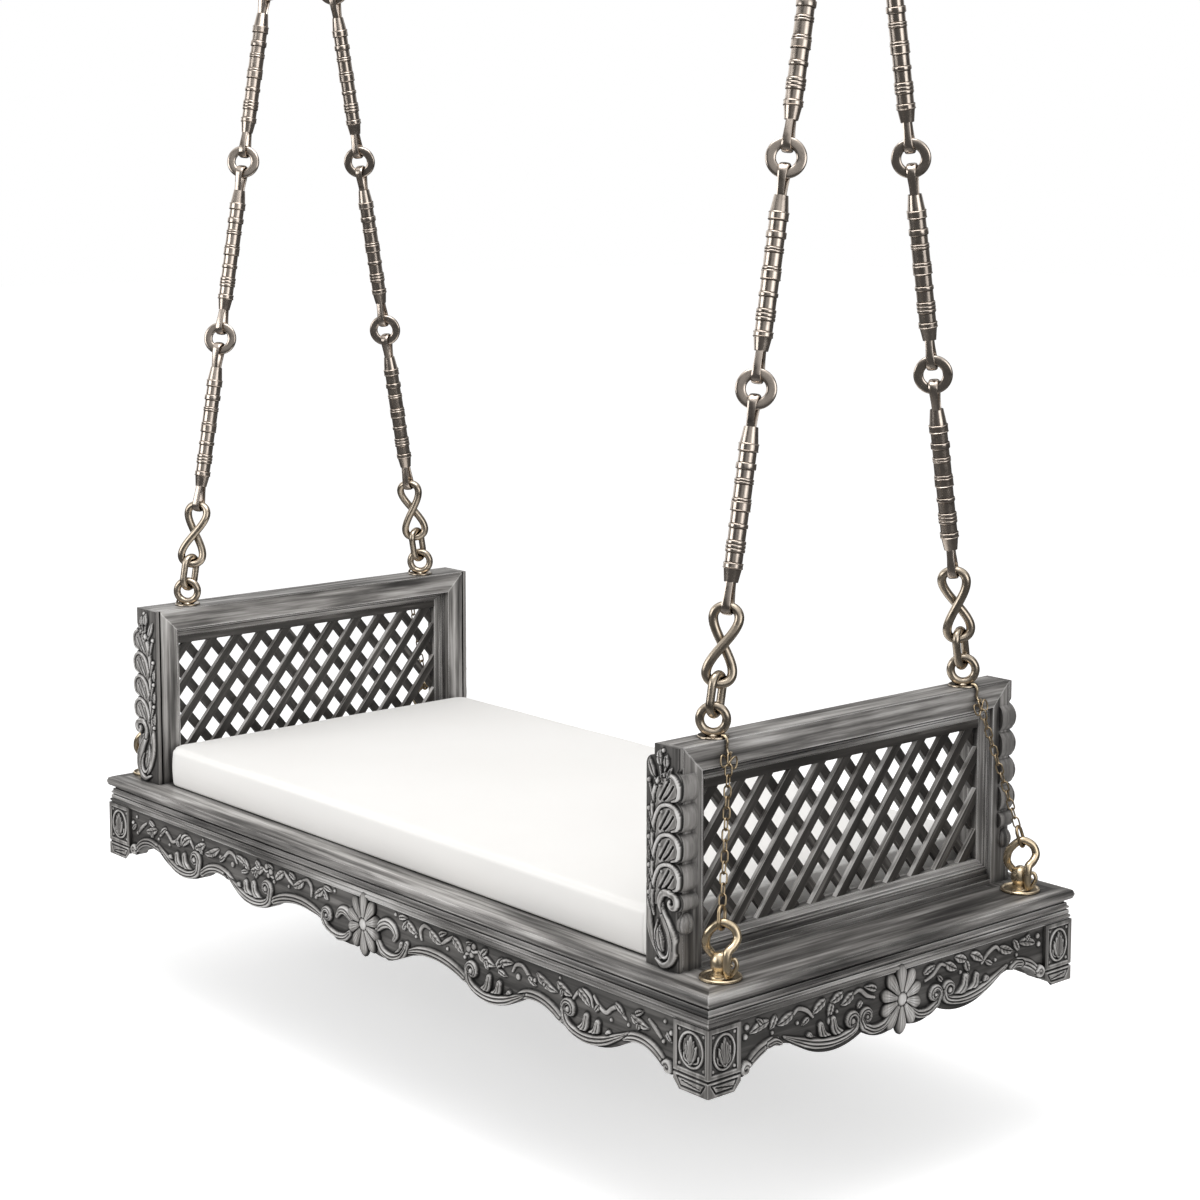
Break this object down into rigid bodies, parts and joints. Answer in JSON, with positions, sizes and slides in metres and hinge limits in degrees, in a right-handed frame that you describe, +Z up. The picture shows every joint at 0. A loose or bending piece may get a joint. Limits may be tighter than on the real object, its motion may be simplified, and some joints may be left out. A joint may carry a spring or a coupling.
{
  "type": "jhoola swing",
  "caption": "Carved wooden jhoola, a bed swing with two lattice end panels and a white mattress, hung from ceiling plates on chains of turned metal rods.",
  "frame": {"origin": "on the ceiling, midway between the two ceiling plates, on their top faces", "axes": "+X along the bed to the end with the wide shelf, +Y to the back, +Z up"},
  "size_m": [1.83, 0.884, 2.4454],
  "materials": {
    "carved_wood": "grey-washed, worn, slight sheen",
    "lattice_wood": "dark stained",
    "mattress_cotton": "plain woven cotton",
    "antique_bronze": "antique, worn",
    "warm_nickel": "turned, satin",
    "bright_brass": "polished",
    "ceiling_steel": "satin"
  },
  "bodies": {
    "ceiling": {"left_ceiling_plate": "ceiling_steel", "right_ceiling_plate": "ceiling_steel"},
    "left_shackle": {"left_shackle_bow": "ceiling_steel", "left_shackle_pin": "ceiling_steel"},
    "right_shackle": {"right_shackle_bow": "ceiling_steel", "right_shackle_pin": "ceiling_steel"},
    "left_hanger": {"left_oval_links": "antique_bronze", "left_figure_eight_links": "antique_bronze", "left_turned_rods": "warm_nickel", "left_washer_rings": "warm_nickel", "left_top_links": "warm_nickel", "left_master_ring": "warm_nickel"},
    "bed": {"deck_border_boards": "carved_wood", "deck_panel": "carved_wood", "deck_moulding": "carved_wood", "deck_battens": "carved_wood", "front_left_corner_block": "carved_wood", "front_left_post": "carved_wood", "front_left_post_carving": "carved_wood", "back_left_corner_block": "carved_wood", "back_left_post": "carved_wood", "back_left_post_carving": "carved_wood", "left_top_rail": "carved_wood", "left_bottom_rail": "carved_wood", "left_panel_moulding": "carved_wood", "front_right_corner_block": "carved_wood", "front_right_post": "carved_wood", "front_right_post_carving": "carved_wood", "back_right_corner_block": "carved_wood", "back_right_post": "carved_wood", "back_right_post_carving": "carved_wood", "right_top_rail": "carved_wood", "right_bottom_rail": "carved_wood", "right_panel_moulding": "carved_wood", "front_apron": "carved_wood", "back_apron": "carved_wood", "left_apron": "carved_wood", "right_apron": "carved_wood", "apron_rosettes": "carved_wood", "left_lattice_outer_slats": "lattice_wood", "left_lattice_inner_slats": "lattice_wood", "right_lattice_outer_slats": "lattice_wood", "right_lattice_inner_slats": "lattice_wood", "left_rail_eyes": "antique_bronze", "left_deck_hooks": "bright_brass", "left_chain_hooks": "bright_brass", "left_safety_chains": "bright_brass", "left_chain_clips": "bright_brass", "right_rail_eyes": "antique_bronze", "right_deck_hooks": "bright_brass", "right_chain_hooks": "bright_brass", "right_safety_chains": "bright_brass", "right_chain_clips": "bright_brass"},
    "right_hanger": {"right_oval_links": "antique_bronze", "right_figure_eight_links": "antique_bronze", "right_turned_rods": "warm_nickel", "right_washer_rings": "warm_nickel", "right_top_links": "warm_nickel", "right_master_ring": "warm_nickel"},
    "pad": {"mattress": "mattress_cotton"}
  },
  "joints": [
    {"name": "swing", "type": "hinge", "parent": "ceiling", "child": "left_shackle", "pos_m": [-0.79375, 0, -0.042], "axis": [1, 0, 0], "range_deg": [-22, 22]},
    {"name": "swing_right", "type": "hinge", "parent": "ceiling", "child": "right_shackle", "pos_m": [0.79375, 0, -0.042], "axis": [1, 0, 0], "range_deg": [-22, 22]},
    {"name": "sway", "type": "hinge", "parent": "left_shackle", "child": "left_hanger", "pos_m": [-0.79375, 0, -0.1017], "axis": [0, 1, 0], "range_deg": [-8, 8]},
    {"name": "sway_bed", "type": "hinge", "parent": "left_hanger", "child": "bed", "pos_m": [-0.79375, 0, -1.87237], "axis": [0, 1, 0], "range_deg": [-8, 8]},
    {"name": "sway_right", "type": "hinge", "parent": "bed", "child": "right_hanger", "pos_m": [0.79375, 0, -1.87237], "axis": [0, 1, 0], "range_deg": [-8, 8]},
    {"name": "pad_lift", "type": "slide", "parent": "bed", "child": "pad", "axis": [0, 0, 1], "range_m": [0, 0.12]}
  ],
  "couplings": [
    {"joint": "swing_right", "follows": "swing", "ratio": 1},
    {"joint": "sway_bed", "follows": "sway", "ratio": -1},
    {"joint": "sway_right", "follows": "sway", "ratio": 1}
  ]
}
